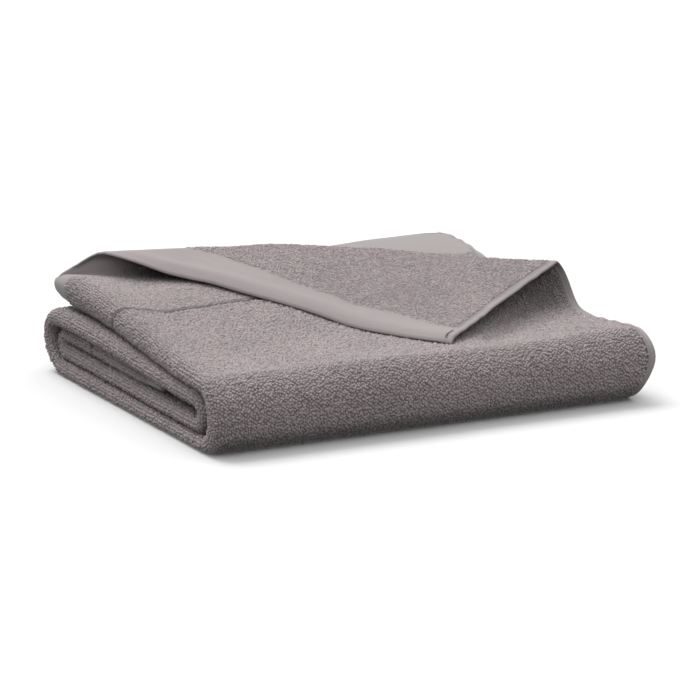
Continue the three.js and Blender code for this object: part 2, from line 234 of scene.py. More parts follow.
def smooth(value):
    value = np.clip(value, 0, 1)
    return value * value * (3 - 2 * value)


def mix(a, b, share):
    return a + (b - a) * share


def bell(value):
    return np.exp(-value * value)


def ramp(value, limits):
    return smooth((value - limits[0]) / (limits[1] - limits[0]))


def soft_least(a, b):
    return (a + b - np.hypot(a - b, SOFTNESS)) / 2


def look_up(table, place):
    """A value between the rows of a table of places and values."""
    at, value = np.array(table, float).T
    row = np.clip(np.searchsorted(at, place, side="right") - 1, 0, len(at) - 2)
    share = smooth((place - at[row]) / (at[row + 1] - at[row]))
    return mix(value[row], value[row + 1], share)


def layer_and_share(place):
    index = np.clip(np.floor(place).astype(int), 0, TOP)
    share = (place - index) * 2
    on_run = (index == TOP) | (share <= 1)
    return index, np.minimum(index + 1, TOP), share, on_run


def middle(place):
    """The middle of a double layer, seen from the left: its y and z."""
    index, after, share, on_run = layer_and_share(place)
    here = {name: column[index] for name, column in LAYER.items()}
    run_y = mix(here["start_y"], here["end_y"], share)
    run_z = mix(here["start_z"], here["end_z"], smooth(share))
    run_z = run_z + here["arch"] * np.sin(math.pi * np.clip(share, 0, 1))
    turn = (share - 1) * math.pi
    way = np.sign(here["end_y"] - here["start_y"])
    swing = (1 - np.cos(turn)) / 2
    fold_y = mix(here["end_y"], LAYER["start_y"][after], swing) + way * here["reach"] * np.sin(turn)
    fold_z = mix(here["end_z"], LAYER["start_z"][after], swing)
    return np.where(on_run, run_y, fold_y), np.where(on_run, run_z, fold_z)


def along(place, start, end):
    """A measure that changes along the strip."""
    index, after, share, on_run = layer_and_share(place)
    run = mix(LAYER[start][index], LAYER[end][index], share)
    fold = mix(LAYER[end][index], LAYER[start][after], smooth(share - 1))
    return np.where(on_run, run, fold)


def half_gap(place):
    index, _, share, on_run = layer_and_share(place)
    base = along(place, "gap", "gap")
    return np.where(on_run, base, mix(base, LAYER["fold_gap"][index], np.sin((share - 1) * math.pi)))


def bulb_height(place):
    index, _, share, on_run = layer_and_share(place)
    ends = along(place, "bulb_start", "bulb_end")
    on_fold = ends + LAYER["bulb_fold"][index] * np.sin(math.pi * (share - 1))
    from_end = np.where(index == TOP, (1 - share) * TOP_LENGTH, TIP_TAPER_WIDTH)
    taper = 1 - TIP_TAPER * smooth(1 - from_end / TIP_TAPER_WIDTH)
    on_layer = taper * (ends + LAYER["bulb_middle"][index] * np.sin(math.pi * np.minimum(share, 1)))
    return np.where(on_run, on_layer, on_fold)


def swell(x, y):
    """The height of the stack here, as a share of its height on the left."""
    rightness = smooth(x / STRIP_WIDTH)
    dip = RIGHT_DIP * bell((y - RIGHT_DIP_Y) / RIGHT_DIP_WIDTH)
    rise = RIGHT_RISE * ramp(y, RIGHT_RISE_GROWS)
    half = np.sin(math.pi * np.clip(x / STRIP_WIDTH, 0, 1))
    return 1 + CROWN * half * ramp(y, CROWN_GROWS) + rightness * (rise - dip)


def fold_section(distance):
    """The measures of the loose fold's section at a distance from the tip."""
    change = ramp(distance, RISE_CHANGES)
    size = soft_least(distance / CONE_LENGTH, 1)
    slope = mix(RISE_SLOPE_NEAR, RISE_SLOPE_FAR, change)
    sine, cosine = np.sin(slope), np.cos(slope)
    radius = np.maximum(RIDGE_RADIUS * size, LEAST_RADIUS)
    turn_height = radius * (1 + cosine)
    rise = np.maximum(look_up(RIDGE_HEIGHTS, distance) * size - turn_height, LEAST_RISE)
    widest = np.maximum(mix(RISE_RADIUS_NEAR, RISE_RADIUS_FAR, change) * size, LEAST_RADIUS)
    bend = np.minimum(widest, rise / (1 - cosine))
    wall = (rise - bend * (1 - cosine)) / sine
    span = bend * sine + wall * cosine
    to_edge = np.maximum(distance * math.tan(FOLD_SLOPE) - 2 * radius, 1)
    descent = np.minimum(np.arctan2(rise + turn_height - LYING_HEIGHT, to_edge), STEEPEST_DESCENT)
    lift = (span + radius * (1 - sine) - OVERHANG * change) * smooth(distance / LIFT_GROWS)
    return {
        "slope": slope, "rise": rise, "bend": bend, "span": span, "descent": descent,
        "radius": radius, "rise_length": bend * slope + wall,
        "turn_length": radius * (math.pi - slope + descent), "lift": lift,
    }


def loose_fold(section, length):
    """A place in that section: how far in front of where the cloth lifts off, and how high."""
    slope, rise, bend, radius = (section[k] for k in ("slope", "rise", "bend", "radius"))
    rise_length, turn_length = section["rise_length"], section["turn_length"]
    bent = np.minimum(length / bend, slope)
    wall = length - bend * bent
    rising = (
        -bend * np.sin(bent) - wall * np.cos(slope),
        bend * (1 - np.cos(bent)) + wall * np.sin(slope),
    )
    angle = slope + np.clip(length - rise_length, 0, turn_length) / radius
    forward = -section["span"] + radius * (np.sin(slope) - np.sin(angle))
    up = rise + radius * (np.cos(slope) - np.cos(angle))
    rest = np.maximum(length - rise_length - turn_length, 0)
    sloping = np.minimum(rest, np.maximum(up - LYING_HEIGHT, 0) / np.sin(section["descent"]))
    forward = forward + sloping * np.cos(section["descent"]) + (rest - sloping)
    up = up - sloping * np.sin(section["descent"])
    on_rise = length < rise_length
    return np.where(on_rise, rising[0], forward), np.where(on_rise, rising[1], up)


def turned_back(x, y, z):
    """The upper ply of the top layer, with its right corner turned back."""
    from_x, from_y = x - TIP[0], y - TIP[1]
    distance = from_x * ALONG_FOLD[0] + from_y * ALONG_FOLD[1]
    ahead = from_x * TO_FRONT[0] + from_y * TO_FRONT[1]
    section = fold_section(np.maximum(distance, 0))
    length = section["lift"] - ahead
    forward, up = loose_fold(section, np.maximum(length, 1e-6))
    # length counts against TO_FRONT, so the cloth behind the lift-off line comes forward again
    creep = CREEP * smooth(distance / CREEP_GROWS) * smooth(length / CREEP_GROWS)
    push = RIDGE_PUSH * ramp(distance, RIDGE_PUSH_GROWS)
    push = push * bell((length - section["rise_length"]) / RIDGE_PUSH_WIDTH)
    sideways = distance + push * smooth(length / RIDGE_PUSH_WIDTH) - creep
    onward = section["lift"] + forward
    plan_x = TIP[0] + ALONG_FOLD[0] * sideways + TO_FRONT[0] * onward
    plan_y = TIP[1] + ALONG_FOLD[1] * sideways + TO_FRONT[1] * onward
    share = np.clip((plan_y - LAYER["start_y"][TOP]) / TOP_LENGTH, 0, 1)
    under = (middle(TOP + share / 2)[1] + LAYER["gap"][TOP]) * swell(plan_x, plan_y)
    flat = (length <= 0) | (distance <= 0)
    return (
        np.where(flat, x, plan_x),
        np.where(flat, y, plan_y),
        np.where(flat, z * swell(x, y), under + up),
    )


def cloth(across, place):
    """A point in the middle of the cloth. across is negative on the lower ply and positive on the
    upper one, 0 on the long fold."""
    across, place = np.broadcast_arrays(across, place)
    side = np.where(across < 0, -1.0, 1.0)
    run = np.abs(across)
    bulb = bulb_height(place)
    left = along(place, "left_start", "left_end")
    hangs = (side < 0) & (place > TOP)
    deep = np.where(hangs, bulb * look_up(SAG, (place - TOP) * 2 * TOP_LENGTH), bulb)
    past = np.maximum(run - bulb * math.pi / 2, 0)
    lag = np.where(side < 0, HEM_WANDER_LAG, 0)
    stray = np.cos(HEM_WANDER_TURN * (place - HEM_WANDER_PEAK) + lag)
    bent = np.minimum(run / bulb, math.pi / 2)
    x = left + bulb * (1 - np.cos(bent)) + past + HEM_WANDER * stray * (past / STRIP_WIDTH) ** 2
    out = np.where(past > 0, mix(half_gap(place), deep, bell(past / BULB_FADE)), deep * np.sin(bent))
    out = out * side
    nudge = 0.001
    low = np.maximum(place - nudge, 0)
    y, z = middle(place)
    ahead_y, ahead_z = np.subtract(middle(low + 2 * nudge), middle(low))
    heading = np.hypot(ahead_y, ahead_z)
    y = y - out * ahead_z / heading
    z = z + out * ahead_y / heading
    turned = turned_back(x, y, z)
    level = (place < TOP) | (side < 0)
    x, y = np.where(level, x, turned[0]), np.where(level, y, turned[1])
    z = np.where(level, z * swell(x, y), turned[2])
    tuck = END_TUCK * ramp(x, TUCK_X) * ramp(y, TUCK_Y) * ramp(z, TUCK_Z)
    bulge = END_BULGE * ramp(x, BULGE_X) * ramp(y, BULGE_Y)
    tuck = tuck - bulge * bell((z - BULGE_Z) / BULGE_Z_REACH)
    heap = sum(share * bell(np.hypot((x - at_x) / reach_x, (y - at_y) / reach_y))
               for at_x, at_y, reach_x, reach_y, share in HEAPS)
    return np.stack([x - tuck, y, z * (1 + heap)], -1)


def middle_length(place):
    """The length of cloth from the inner end to a place on the strip."""
    fine = np.linspace(0, TOP + 0.5, 6001)
    y, z = middle(fine)
    run = np.concatenate([[0], np.cumsum(np.hypot(np.diff(y), np.diff(z)))])
    return np.interp(place, fine, run)


CLOTH_LENGTH = float(middle_length(TOP + 0.5))


def top_rows(across):
    """How far along the top layer its rows of faces lie: on the upper ply the rows follow the loose
    fold of the turned-back corner."""
    early = int(LAYER["rows"][TOP])
    run = np.abs(across)
    cosine = math.cos(FOLD_SLOPE)
    section = fold_section(run / cosine)
    rise, turn = section["rise_length"], section["turn_length"]
    lift_off = TOP_LENGTH - run * math.tan(FOLD_SLOPE) - section["lift"] / cosine
    fits = (TOP_LENGTH - lift_off) * cosine / (rise + turn)
    scale = np.minimum(fits * STANDING_SHARE, 1) / cosine
    shares = np.linspace(0, 1, 11)
    lengths = [lift_off * row / early for row in range(early)]
    lengths += [lift_off + scale * share * rise for share in shares]
    lengths += [lift_off + scale * (rise + share * turn) for share in shares[1:]]
    lengths += [mix(lengths[-1], TOP_LENGTH, share) for share in edge_steps(60, 24)[1:]]
    before_tip, last = TOP_LENGTH - TIP_ROWS, len(lengths) - 1
    rows = []
    for row, length in enumerate(lengths):
        on_fold = before_tip * row / early
        if row >= early:
            on_fold = before_tip + TIP_ROWS * (row - early) / (last - early)
        lower = mix(on_fold, TOP_LENGTH * row / last, run / STRIP_WIDTH)
        upper = mix(on_fold, length, smooth(run / FAN_WIDTH))
        rows.append(np.where(across <= 0, lower, upper))
    return rows


def edge_steps(limit, steps):
    """Shares of a run that crowd together at its far end, for the rounding of a cut edge."""
    inner = np.linspace(0, 1 - RIM_BEGINS / limit, steps)
    return np.concatenate([inner, 1 - np.array(RIM[::-1]) / limit])


def towel_grid():
    """Places across and along the strip for the rows and columns of the cloth's faces."""
    # From the long fold to the hem, closer at both
    side = np.concatenate([
        [0.7, 1.8, 3.2, 4.8, 6.4, 8, 10, 12, 14.5, 17, 20, 23.5, 27, 31, 36],
        np.linspace(42, 336, 50),
        [340, 343.5, 346.5, 348.5, 349.6, 350.4, 351.2, 352.4, 354.2, 356.4, 358.3, 359.1, 359.65, 360],
    ])
    columns = np.concatenate([-side[::-1], [0], side])
    level = []
    for index in range(TOP):
        rows, fold_rows = int(LAYER["rows"][index]), int(LAYER["fold_rows"][index])
        shares = np.arange(rows) / rows
        if index == 0:
            run = abs(LAYER["end_y"][0] - LAYER["start_y"][0])
            shares = np.concatenate([np.array(RIM) / run, (np.arange(rows) + 0.5) / rows])
        level.extend(index + shares / 2)
        level.extend(index + 0.5 + np.arange(fold_rows) / fold_rows / 2)
    places = [np.full_like(columns, place) for place in level]
    places += [TOP + row / TOP_LENGTH / 2 for row in top_rows(columns)]
    return np.broadcast_to(columns, (len(places), len(columns))), np.array(places)


def cloth_lengths(place):
    """How far each point is from the inner end, along the cloth."""
    on_top = place > TOP
    start = float(middle_length(float(TOP)))
    return np.where(on_top, start + (place - TOP) * 2 * (CLOTH_LENGTH - start), middle_length(place))


def cloth_frame(across, place):
    """The middle of the cloth and its upward direction at each row and column."""
    nudge, span = 0.0005, 0.25
    low, high = np.maximum(place - nudge, 0), np.minimum(place + nudge, TOP + 0.5)
    left, right = np.maximum(across - span, -STRIP_WIDTH), np.minimum(across + span, STRIP_WIDTH)
    outward = np.cross(
        cloth(right, place) - cloth(left, place), cloth(across, high) - cloth(across, low)
    )
    return cloth(across, place), outward / np.linalg.norm(outward, axis=-1, keepdims=True)


def grid_faces(rows, columns):
    """The quads of both sides of the cloth and of its rim."""
    size = rows * columns
    row, column = np.meshgrid(np.arange(rows - 1), np.arange(columns - 1), indexing="ij")
    corner = (row * columns + column).ravel()
    upper = np.stack([corner, corner + 1, corner + columns + 1, corner + columns], 1)
    lower = upper[:, ::-1] + size
    across = np.arange(columns - 1)
    end = (rows - 1) * columns + across
    down = np.arange(rows - 1) * columns
    right = down + columns - 1
    rims = [(across, across + 1), (end + 1, end), (down + columns, down), (right, right + columns)]
    rim = np.concatenate([np.stack([a, a + size, b + size, b], 1) for a, b in rims])
    return upper, lower, rim


def new_mesh(name, points, edges=(), faces=(), flat=False):
    """A mesh with its points in metres."""
    mesh = bpy.data.meshes.new(name)
    mesh.from_pydata(*(np.asarray(part).tolist() for part in (points, edges, faces)), flat)
    mesh.validate()
    return mesh


def add_measure(mesh, name, values):
    """A number or a vector at each point of a mesh, which nodes and materials read by its name."""
    kind, field = ("FLOAT", "value") if np.ndim(values) == 1 else ("FLOAT_VECTOR", "vector")
    layer = mesh.attributes.new(name, kind, "POINT")
    layer.data.foreach_set(field, np.asarray(values, np.float32).ravel())


def show(mesh):
    piece = bpy.data.objects.new(mesh.name, mesh)
    bpy.context.scene.collection.objects.link(piece)
    return piece


def open_air(points, upward, half):
    """What share of the room over each point of both sides is open, by rays from a coarser copy
    of the cloth."""
    rows, columns = points.shape[:2]
    some_rows = np.unique(np.append(np.arange(0, rows, 2), rows - 1))
    some_columns = np.unique(np.append(np.arange(0, columns, 3), columns - 1))
    pick = np.ix_(some_rows, some_columns)
    sides = [points[pick] + s * upward[pick] * half[pick][..., None] for s in SIDES]
    floor = np.array([(-900, -900, -0.2), (1300, -900, -0.2), (1300, 1200, -0.2), (-900, 1200, -0.2)])
    flat = np.concatenate([side.reshape(-1, 3) for side in sides] + [floor])
    faces = np.concatenate(grid_faces(len(some_rows), len(some_columns)))
    around = list(range(len(flat) - 4, len(flat)))
    tree = BVHTree.FromPolygons(flat.tolist(), faces.tolist() + [around])
    golden = math.pi * (3 - math.sqrt(5))
    rays = []
    for k in range(AIR_RAYS):
        height = math.sqrt(1 - (k + 0.5) / AIR_RAYS)
        flatness = math.sqrt(1 - height * height)
        turn = golden * k
        rays.append(Vector((flatness * math.cos(turn), flatness * math.sin(turn), height)))
    result = []
    for s, side in zip(SIDES, sides):
        out = (upward[pick] * s).reshape(-1, 3)
        free = np.zeros(len(out))
        for index, (start, normal) in enumerate(zip(side.reshape(-1, 3), out)):
            turn = Vector((0, 0, 1)).rotation_difference(Vector(normal)).to_matrix()
            begin = Vector(start) + Vector(normal) * AIR_START
            hits = sum(tree.ray_cast(begin, turn @ ray, AIR_REACH)[0] is not None for ray in rays)
            free[index] = 1 - hits / AIR_RAYS
        coarse = free.reshape(len(some_rows), len(some_columns))
        wide = np.array([np.interp(np.arange(columns), some_columns, row) for row in coarse])
        result.append(np.array([np.interp(np.arange(rows), some_rows, col) for col in wide.T]).T)
    return result


def unevenness(across, length):
    """Soft waves of the resting cloth, from -1 to 1."""
    waves = sum(high * np.sin(across / a + length / b + c) * np.sin(length / e + across / d + f)
                for high, a, b, c, d, e, f in WAVES)
    return waves / sum(wave[0] for wave in WAVES)


def length_property(name, description, default, least=0.0):
    return bpy.props.FloatProperty(
        name=name, description=description, default=default, min=least, unit="LENGTH")


def colour_property(name, description, default):
    return bpy.props.FloatVectorProperty(
        name=name, description=description, default=default, subtype="COLOR", size=3, min=0, max=1)


class TowelSizes(bpy.types.PropertyGroup):
    band_width: length_property(
        "End band width", "Width of the flat woven band at both ends", 0.0235)
    hem_width: length_property("Side hem width", "Width of the doubled side hems", 0.0062)
    ground_thickness: length_property(
        "Ground thickness", "Thickness of the woven ground, bands and hems", 0.0029, 0.0005)
    pressed_thickness: length_property(
        "Pressed thickness", "Thickness of a ply where its loops are pressed flat", 0.0045, 0.0005)
    border_width: length_property("Border line width", "Width of the bare border line", 0.0066)
    wave_height: length_property(
        "Wave height", "Height of the soft waves of the resting cloth", 0.0013)


class LoopSizes(bpy.types.PropertyGroup):
    pitch_across: length_property(
        "Pitch across", "Distance from one row of loops to the next", 0.00165, 0.001)
    pitch_along: length_property(
        "Pitch along", "Distance from one loop to the next in its row", 0.00188, 0.001)
    height: length_property("Height", "Height of a loop over the ground", 0.00135)
    width: length_property("Width", "Width of a loop", 0.0020)
    lean: bpy.props.FloatProperty(
        name="Lean", description="How far a loop leans over at most",
        default=math.radians(32), subtype="ANGLE")
    seed: bpy.props.IntProperty(
        name="Seed", description="Seed of the loops' places and turns", default=11)


class SeamSizes(bpy.types.PropertyGroup):
    stitch_length: length_property("Stitch length", "Length of one stitch", 0.0026)
    stitch_pitch: length_property(
        "Stitch pitch", "Distance from one stitch to the next", 0.0034)
    thread_width: length_property("Thread width", "Thickness of the sewing thread", 0.00045)
    from_hem_edge: length_property(
        "Seam place", "How far the seam lies from the cloth's edge", 0.0050)


class TowelColours(bpy.types.PropertyGroup):
    loop: colour_property("Loops", "Colour of the loops", (0.398, 0.343, 0.348))
    # The woven ground's colour, darker than the loops; the darkness is in part painted shade between
    # the loops
    ground: colour_property(
        "Ground", "Colour of the ground between the loops", (0.268, 0.229, 0.234))
    band: colour_property(
        "Bands and hems", "Colour of the flat woven bands and hems", (0.31, 0.275, 0.274))
    floor: colour_property("Floor", "Colour of the floor", (0.83, 0.83, 0.83))


def maths(operation, turned=False):
    """A method that adds a maths node, for this number and another one or, turned, for the other
    one and this."""
    def method(self, other=0.0):
        first, second = (other, self) if turned else (self, other)
        return self.finish.node("Math", {0: first, 1: second}, operation=operation)
    return method


class Sum:
    """A number or a colour in a material's node tree, so that its maths reads as plain
    expressions."""

    def __init__(self, finish, socket):
        self.finish, self.socket = finish, socket

    __add__ = __radd__ = maths("ADD")
    __mul__ = __rmul__ = maths("MULTIPLY")
    __sub__, __rsub__ = maths("SUBTRACT"), maths("SUBTRACT", turned=True)
    size, sine = maths("ABSOLUTE"), maths("SINE")
    least, most = maths("MINIMUM"), maths("MAXIMUM")

    def within(self, low, high):
        """How far between two values, softly from 0 to 1."""
        limits = {"Value": self, "From Min": low, "From Max": high}
        return self.finish.node("MapRange", limits, interpolation_type="SMOOTHSTEP")


class Finish:
    """The nodes of a material or of the sky under construction."""

    def __init__(self, data, shader="Principled BSDF", **constants):
        data.use_nodes = True
        self.data, self.tree = data, data.node_tree
        self.shader = self.tree.nodes[shader]
        self.end(**constants)

    def feed(self, socket, value):
        if isinstance(value, Sum):
            self.tree.links.new(value.socket, socket)
        elif hasattr(socket.default_value, "__len__") and len(socket.default_value) == 4:
            socket.default_value = (*value[:3], 1.0)
        else:
            socket.default_value = value

    def node(self, kind, inputs=None, output=0, **settings):
        """One node of a type with its inputs and settings, as a number or colour to go on with."""
        node = self.tree.nodes.new("ShaderNode" + kind)
        for name, value in settings.items():
            setattr(node, name, value)
        for name, value in (inputs or {}).items():
            self.feed(node.inputs[name], value)
        return Sum(self, node.outputs[output])

    def blend(self, share, a, b, blend_type="MIX"):
        inputs = {0: share, 6: a, 7: b}
        return self.node("Mix", inputs, 2, data_type="RGBA", blend_type=blend_type)

    def shaded(self, colour, factor):
        """A colour times a number."""
        grey = self.node("CombineColor", {"Red": factor, "Green": factor, "Blue": factor})
        return self.blend(1.0, colour, grey, "MULTIPLY")

    def noise(self, place, scale, detail=2.0):
        return self.node("TexNoise", {"Vector": place, "Scale": scale, "Detail": detail})

    def bump(self, strength, distance, height):
        return self.node("Bump", {"Strength": strength, "Distance": distance, "Height": height})

    def measure(self, name):
        return self.node("Attribute", output=2, attribute_name=name)

    def place(self, kind="Object"):
        return self.node("TexCoord", output=kind)

    def end(self, **inputs):
        for name, value in inputs.items():
            self.feed(self.shader.inputs[name.replace("_", " ")], value)
        return self.data


def broad_shade(finish):
    """Soft changes of tone over the cloth, as washing and light wear give."""
    place = finish.place()
    return 0.54 + finish.noise(place, 22.0) * 0.3 + finish.noise(place, 210.0) * 0.62


def cloth_finish(colours, sizes):
    """The woven cloth itself: a ground darker than the loops, partly painted shade between them, smooth
    bands and hems, and painted shadow lines.
    """
    finish = Finish(bpy.data.materials.new("terry_cloth"), Sheen_Weight=0.25,
                    Sheen_Roughness=0.6, Specular_IOR_Level=0.25)
    place = finish.place("UV")
    across, along_cloth = (finish.node("SeparateXYZ", {0: place}, way) for way in ("X", "Y"))
    from_end, from_side = finish.measure("from_end"), finish.measure("from_side")
    bare, inside = finish.measure("bare"), finish.measure("inside")
    hem = sizes.hem_width / MM
    # Where a painted shadow line runs on the pile beside the side hem
    beside_hem = from_side.within(hem - 0.6, hem + 0.2)
    beside_hem = beside_hem * (1 - from_side.within(hem + 1.2, hem + 3.0))
    no_air = 1 - finish.measure("open_air").within(0.04, 0.14)
    pressed = no_air.most((1 - finish.measure("fullness")) * 1.15)

    def thin_line(distance):
        return 1 - distance.size().within(0.5, 1.3)

    # The hem's open end in the band's corner, painted dark as shade: it runs across on one face and
    # along on the other
    slit_along = thin_line(from_side - 5.4) * inside.within(0.8, 0.9)
    slit_along = slit_along * from_end.within(2.0, 3.5) * (1 - from_end.within(16.0, 18.0))
    slit_across = thin_line(from_end - 6) * inside.within(0.3, 0.4)
    slit_across = slit_across * (1 - inside.within(0.6, 0.7)) * (1 - from_side.within(22.0, 27.0))
    slit = slit_along.most(slit_across)

    stretch = finish.node("CombineXYZ", {"X": across * 60, "Y": along_cloth * 900})
    ribs = finish.noise(stretch, 1.0)
    weave = (across * 5200).sine() * (along_cloth * 5200).sine()
    grain = finish.node("TexVoronoi", {"Vector": place, "Scale": 520.0}, feature="F1")
    # The ground, with its part of painted shade, shows between standing loops; the loop colour shows
    # where they are pressed flat
    pile = finish.blend(pressed, colours.ground, colours.loop)
    pile = finish.shaded(pile, 1.15 - grain * 0.5)
    # Painted shadow in the crease of the bare border line and beside the side hems
    border_shadow = 1 - finish.measure("from_border").size().within(1.2, 3.3)
    pile = finish.blend(border_shadow.most(beside_hem * 0.8), pile, SHADOW_LINE_COLOUR)
    flat = finish.shaded(colours.band, 0.93 + ribs * 0.18)
    calm = 0.97 + finish.noise(finish.place(), 30.0) * 0.1
    shade = broad_shade(finish) * (1 - bare) + calm * bare
    # The hem's open end painted in shadow over the rest
    colour = finish.blend(slit, finish.blend(bare, pile, flat), SHADOW_LINE_COLOUR)
    # The colour darkened by the painted shade measured at each point
    colour = finish.shaded(colour, shade * finish.measure("shelter"))
    height = bare * (ribs * 0.5 + weave * 0.12) + (1 - bare) * (1 - grain) * 1.6 - slit * 2
    return finish.end(Base_Color=colour, Roughness=0.92 - bare * 0.14,
                      Normal=finish.bump(0.6, 0.0005, height))


def loop_finish(colours):
    """The loops: darker at the root as painted shade between them, and no two of quite one tone."""
    finish = Finish(bpy.data.materials.new("terry_loops"), Roughness=0.92, Sheen_Weight=0.3,
                    Sheen_Roughness=0.55, Specular_IOR_Level=0.2)
    # Painted shade at the root of each loop, by its rise, and less of it where the pile is thin
    pale = (0.85 - finish.measure("fullness")).most(0.0)
    rise = (finish.measure("rise").within(-0.1, 0.9) + pale).least(1.0)
    factor = broad_shade(finish) * (0.91 + finish.measure("tone") * 0.18)
    colour = finish.blend(rise, colours.ground, colours.loop)
    # Painted shade, as on the cloth beneath
    colour = finish.shaded(colour, factor * finish.measure("shelter"))
    fibres = finish.noise(finish.place(), 1900.0, 1.0)
    return finish.end(Base_Color=colour, Normal=finish.bump(0.35, 0.0003, fibres))


def thread_finish(colours):
    finish = Finish(bpy.data.materials.new("sewing_thread"), Roughness=0.6, Sheen_Weight=0.1)
    twist = finish.node("TexWave", {"Vector": finish.place(), "Scale": 900.0})
    return finish.end(Base_Color=finish.shaded(colours.band, 0.92 + twist * 0.16))


class NodeMaker:
    """A Geometry Nodes tree under construction."""

    def __init__(self, name, **inputs):
        self.tree = bpy.data.node_groups.new(name, "GeometryNodeTree")
        add_socket = self.tree.interface.new_socket
        add_socket("Geometry", in_out="OUTPUT", socket_type="NodeSocketGeometry")
        for label, kind in {"Geometry": "Geometry", **inputs, "Material": "Material"}.items():
            add_socket(label, in_out="INPUT", socket_type="NodeSocket" + kind)
        self.start = self.tree.nodes.new("NodeGroupInput").outputs
        self.end = self.tree.nodes.new("NodeGroupOutput").inputs

    def add(self, kind, inputs=None, output=0, **settings):
        node = self.tree.nodes.new(kind)
        for name, value in settings.items():
            setattr(node, name, value)
        for name, value in (inputs or {}).items():
            if isinstance(value, bpy.types.NodeSocket):
                self.tree.links.new(value, node.inputs[name])
            else:
                node.inputs[name].default_value = value
        return node.outputs[output]

    def maths(self, operation, a, b):
        return self.add("ShaderNodeMath", {0: a, 1: b}, operation=operation)

    def product(self, *factors):
        result = factors[0]
        for factor in factors[1:]:
            result = self.maths("MULTIPLY", result, factor)
        return result

    def vector(self, **parts):
        return self.add("ShaderNodeCombineXYZ", parts)

    def named(self, name, kind="FLOAT"):
        return self.add("GeometryNodeInputNamedAttribute", {"Name": name}, data_type=kind)

    def random(self, low, high, step):
        """A random number for each point, from the tree's seed and a step of its own."""
        seed = self.maths("ADD", self.start["Seed"], step)
        inputs = {2: low, 3: high, "Seed": seed}
        return self.add("FunctionNodeRandomValue", inputs, 1, data_type="FLOAT")

    def grows(self, name, width, reach, least):
        """How far the pile has grown past a band or hem of this width, from least to 1."""
        past = self.maths("SUBTRACT", self.named(name), self.product(width, 1 / MM))
        return self.add("ShaderNodeMapRange", {
            "Value": past, "From Min": 0.0, "From Max": reach, "To Min": least, "To Max": 1.0})

    def finish(self, instances):
        """The end of the tree: the instances made real, with the material."""
        real = self.add("GeometryNodeRealizeInstances", {"Geometry": instances})
        done = {"Geometry": real, "Material": self.start["Material"]}
        self.tree.links.new(self.add("GeometryNodeSetMaterial", done), self.end[0])
        return self.tree


def finished(piece, material):
    piece.data.materials.clear()
    piece.data.materials.append(material)
    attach(piece, "root")
    return piece


def grown(name, base, tree, **values):
    """The piece that a Geometry Nodes tree makes on a base mesh, as a plain mesh."""
    helper = show(base)
    modifier = helper.modifiers.new(tree.name, "NODES")
    modifier.node_group = tree
    for item in tree.interface.items_tree:
        if item.in_out == "INPUT" and item.name in values:
            modifier[item.identifier] = values[item.name]
    helper.update_tag()
    graph = bpy.context.evaluated_depsgraph_get()
    mesh = bpy.data.meshes.new_from_object(
        helper.evaluated_get(graph), preserve_all_data_layers=True, depsgraph=graph)
    mesh.name = name
    helper.modifiers.clear()
    bpy.data.objects.remove(helper)
    return finished(show(mesh), values["Material"])


def loop_tree():
    """A loop of yarn on each root, lower beside the bands and hems."""
    maker = NodeMaker(
        "Terry Loops", Loop="Object", Height="Float", Width="Float", Lean="Float",
        Band="Float", Hem="Float", Seed="Int")
    start = maker.start
    upright = maker.add("FunctionNodeAlignRotationToVector", {
        "Vector": maker.named("upright", "FLOAT_VECTOR")}, axis="Z")
    along_warp = maker.add("FunctionNodeAlignRotationToVector", {
        "Rotation": upright, "Vector": maker.named("warp", "FLOAT_VECTOR")},
        axis="X", pivot_axis="Z")
    back = maker.product(start["Lean"], -1.0)
    turn = maker.vector(
        X=maker.random(back, start["Lean"], 1.0), Y=maker.random(back, start["Lean"], 2.0),
        Z=maker.random(-LOOP_TURN, LOOP_TURN, 3.0))
    turned = maker.add("FunctionNodeRotateRotation", {
        "Rotation": along_warp, "Rotate By": turn}, rotation_space="LOCAL")
    grows = maker.product(
        maker.grows("from_end", start["Band"], *BESIDE_BAND),
        maker.grows("from_side", start["Hem"], *BESIDE_HEM))
    high = maker.product(start["Height"], maker.named("fullness"), grows)
    wide = maker.product(start["Width"], maker.maths("POWER", grows, WIDTH_POWER))
    sizes = {"X": wide, "Y": wide, "Z": high}
    size = maker.vector(**{
        way: maker.product(sizes[way], maker.random(*LOOP_SIZES[way], 4.0 + k))
        for k, way in enumerate(sizes)})
    loop = maker.add("GeometryNodeObjectInfo", {"Object": start["Loop"]}, "Geometry")
    loops = maker.add("GeometryNodeInstanceOnPoints", {
        "Points": start["Geometry"], "Instance": loop, "Rotation": turned, "Scale": size})
    return maker.finish(maker.add("GeometryNodeStoreNamedAttribute", {
        "Geometry": loops, "Name": "tone", "Value": maker.random(0.0, 1.0, 7.0)},
        data_type="FLOAT", domain="INSTANCE"))


def one_loop():
    """A loop of yarn seen as a small four-sided knob, one unit high and wide."""
    radius_height_rise = [(0.42, -0.45, 0.0), (0.5, 0.5, 0.65)]
    points, rises, faces = [], [], []
    for k, (radius, height, rise) in enumerate(radius_height_rise):
        for side in range(4):
            angle = math.pi / 2 * (side + 0.5 * k)
            points.append((radius * math.cos(angle), radius * math.sin(angle), height))
            rises.append(rise)
    points.append((0.0, 0.0, 1.0))
    rises.append(1.0)
    for side in range(4):
        after = (side + 1) % 4
        faces += [(side, after, 4 + side), (after, 4 + after, 4 + side), (4 + side, 4 + after, 8)]
    mesh = new_mesh("loop", points, faces=faces)
    # The rise, from 0 at the root to 1 at the top, sets the loop's painted root shade
    add_measure(mesh, "rise", rises)
    return show(mesh)


